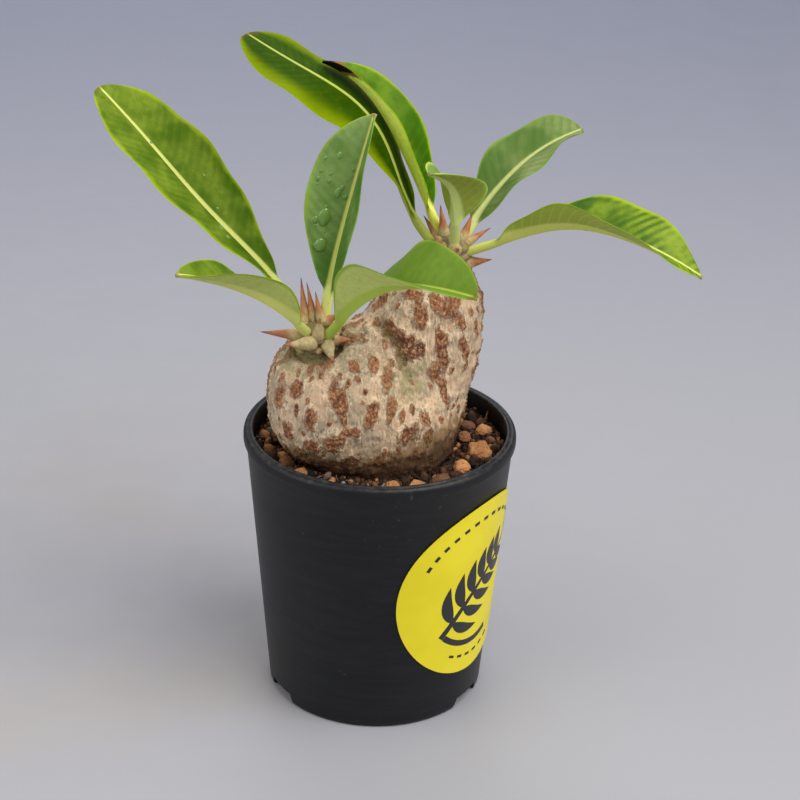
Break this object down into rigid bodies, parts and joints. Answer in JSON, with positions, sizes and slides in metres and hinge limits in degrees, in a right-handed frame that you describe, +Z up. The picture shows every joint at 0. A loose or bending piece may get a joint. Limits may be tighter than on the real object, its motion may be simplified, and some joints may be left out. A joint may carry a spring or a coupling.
{
  "type": "potted plant",
  "caption": "Potted pachypodium: swollen lobed succulent stem with thorny growing tips and long arching leaves, in gritty soil in a round black nursery pot with a plain round sticker.",
  "frame": {"origin": "bottom centre of the whole object's bounding box, on the surface the pot stands on", "axes": "+Z up along the pot's axis; -Y is the front, from which the low front leaf and the front lobe of the stem face the viewer; +X to the viewer's right"},
  "size_m": [0.1586, 0.0914, 0.1828],
  "materials": {
    "pot_plastic": "satin",
    "sticker": "satin",
    "soil": "matte",
    "stone": "matte",
    "bark": "matte",
    "leaf": "satin",
    "thorn": "satin"
  },
  "bodies": {
    "root": {"pot": "pot_plastic", "sticker": "sticker", "soil": "soil", "stone_1": "stone", "stone_2": "stone", "stone_3": "stone", "stone_4": "stone", "stone_5": "stone", "stone_6": "stone", "stone_7": "stone", "stone_8": "stone", "stone_9": "stone", "stone_10": "stone", "stone_11": "stone", "stone_12": "stone", "stone_13": "stone", "stone_14": "stone", "stone_15": "stone", "stone_16": "stone", "stem": "bark", "leaf_front_low_left": "leaf", "leaf_front_low_right": "leaf", "leaf_front_tall_left": "leaf", "leaf_front_upright": "leaf", "leaf_rear_long_right": "leaf", "leaf_rear_short_right": "leaf", "leaf_rear_tall_back": "leaf", "leaf_rear_tall_left": "leaf", "leaf_rear_young": "leaf", "thorn_front_1": "thorn", "thorn_front_2": "thorn", "thorn_front_3": "thorn", "thorn_front_4": "thorn", "thorn_front_5": "thorn", "thorn_front_6": "thorn", "thorn_front_7": "thorn", "thorn_front_8": "thorn", "thorn_front_9": "thorn", "thorn_front_10": "thorn", "thorn_front_11": "thorn", "thorn_rear_1": "thorn", "thorn_rear_2": "thorn", "thorn_rear_3": "thorn", "thorn_rear_4": "thorn", "thorn_rear_5": "thorn", "thorn_rear_6": "thorn", "thorn_rear_7": "thorn", "thorn_rear_8": "thorn"}
  },
  "joints": []
}
